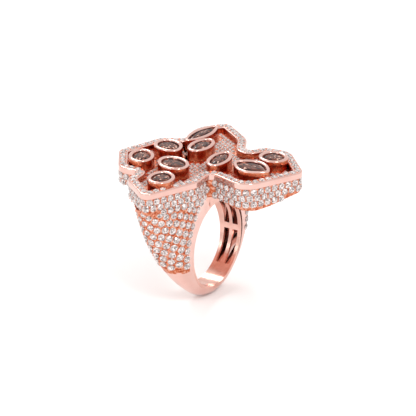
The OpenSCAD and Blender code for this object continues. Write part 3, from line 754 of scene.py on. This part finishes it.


# Table, two crown steps, girdle and pavilion on scaled copies of the outline. The table is cut into
# rings of triangles, so that it carries a painted reflection of the facets below it.
def smokyStone(number, x, y, turn, length, width, point):
    b = bezelSizes
    count = 16
    l, w = length - 2 * b["wall"] - 0.06, width - 2 * b["wall"] - 0.06
    girdle = head["rimHeight"] + b["rise"] - b["seat"]
    rings = [(0.02, 0.64), (0.3, 0.64), (0.6, 0.62), (0.84, 0.42), (1.0, 0.16), (1.0, 0.02),
             (1 - 0.8 / min(l, w), 0.02), (0.5, -0.75), (0.12, -1.15)]
    outline = setOutline(l, w, point, count)
    half = (outline + np.roll(outline, -1, 0)) / 2
    lines = [np.column_stack([(half if k % 2 else outline) * scale, np.full(count, z)])
             for k, (scale, z) in enumerate(rings)]
    points = turned(np.stack(lines), x, y, turn) + np.array([0, 0, girdle])
    i, k = np.arange(len(rings) - 1)[:, None], np.arange(count)[None]
    n = (k + 1) % count
    # each quad is cut in two, and rings take turns at which diagonal cuts theirs
    near, nearNext = i * count + k, i * count + n
    far, farNext = near + count, nearNext + count
    even = (i % 2 == 0)[..., None]
    first = np.where(even, np.stack([near, far, nearNext], 2), np.stack([near, far, farNext], 2))
    second = np.where(even, np.stack([nearNext, far, farNext], 2), np.stack([near, farNext, nearNext], 2))
    faces = [list(f) for f in np.vstack([first.reshape(-1, 3), second.reshape(-1, 3)])]
    faces.append(list(range(count)))
    faces.append([(len(rings) - 1) * count + k for k in range(count - 1, -1, -1)])
    # painted reflections: each facet takes one of a few light or dark values at random
    paintedReflection = chance.choice([0.08, 0.3, 0.45, 0.55, 0.7, 0.95], len(faces),
                          p=[0.2, 0.2, 0.22, 0.2, 0.13, 0.05])
    putMesh(f"smoky_stone_{number}_cut", points.reshape(-1, 3), faces, smokyQuartz,
            [f"smoky_stone_{number}"], smooth=False, paintedReflection=paintedReflection)


for k, name in enumerate(petalNames):
    rimBand(k, name)
    paveWall(k, name)
for number, facts in enumerate(setStones, 1):
    bezel(number, *facts)
    smokyStone(number, *facts)
print("head ready")

# the liner and the gallery take satin gold; every other shown solid, such as the tray floors, takes the
# grained gold with its painted shade
for name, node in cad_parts.items():
    if not node.hide_render:
        smoothGold = name in ("finger_liner", "gallery")
        node.data.materials.clear()
        node.data.materials.append(satinRoseGold if smoothGold else grainedPaintedShadeGold)


studio = {"floor": "#fbfaf9", "world": "#ffffff", "worldStrength": 1.0,
          "floorSize": 3.0, "floorGap": 0.00002,     # metres
          "azimuth": -58.46, "elevation": 24.42,     # where the camera stands, degrees
          "distance": 450.0, "viewWidth": 79.1, "rise": 6.2}


# A large flat sheet just under the ring.
def studioFloor():
    material, tree, shader, where = newMaterial("paleFloor")
    mottle = addNode(tree, "ShaderNodeTexNoise", Vector=where, Scale=8.0)
    tree.links.new(colourRamp(tree, mottle.outputs["Fac"], [(0.3, studio["floor"]), (0.7, "#ffffff")]),
                   shader.inputs["Base Color"])
    shader.inputs["Roughness"].default_value = 0.7
    z = cadBox[0].z - studio["floorGap"]
    size = studio["floorSize"]
    mesh = bpy.data.meshes.new("studioFloor")
    corners = [(-size, -size, z), (size, -size, z), (size, size, z), (-size, size, z)]
    mesh.from_pydata(corners, [], [(0, 1, 2, 3)])
    mesh.materials.append(material)
    floor = bpy.data.objects.new("studioFloor", mesh)
    bpy.context.scene.collection.objects.link(floor)


def softLight(name, place, size, power):
    light = bpy.data.lights.new(name, "AREA")
    light.shape = "DISK"
    light.size = size
    light.energy = power
    lamp = bpy.data.objects.new(name, light)
    lamp.location = place
    lamp.rotation_euler = (-Vector(place)).to_track_quat("-Z", "Y").to_euler()
    bpy.context.scene.collection.objects.link(lamp)


# Stands back along the view direction and aims a little above the finger hole's centre.
def camera():
    a, e = math.radians(studio["azimuth"]), math.radians(studio["elevation"])
    back = Vector((math.sin(a) * math.cos(e), -math.cos(a) * math.cos(e), math.sin(e)))
    up = Vector((-math.sin(a) * math.sin(e), math.cos(a) * math.sin(e), math.cos(e)))
    eye = bpy.data.cameras.new("camera")
    eye.sensor_width = 36
    eye.lens = 36 * studio["distance"] / studio["viewWidth"]
    eye.clip_start = 0.01
    aim = up * studio["rise"] * millimetre
    holder = bpy.data.objects.new("camera", eye)
    holder.location = back * studio["distance"] * millimetre
    holder.rotation_euler = (aim - holder.location).to_track_quat("-Z", "Y").to_euler()
    bpy.context.scene.collection.objects.link(holder)
    bpy.context.scene.camera = holder


world = bpy.data.worlds.new("studioWorld")
world.use_nodes = True
bpy.context.scene.world = world
world.node_tree.nodes["Background"].inputs["Color"].default_value = toLinear(studio["world"])
world.node_tree.nodes["Background"].inputs["Strength"].default_value = studio["worldStrength"]
bpy.context.scene.view_settings.view_transform = "Standard"
studioFloor()
softLight("keyLight", (-0.25, -0.35, 0.45), 0.16, 0.9)
softLight("fillLight", (-0.45, 0.15, 0.25), 0.2, 0.4)
softLight("backLight", (0.3, 0.3, 0.35), 0.15, 0.5)
camera()
print("studio ready")
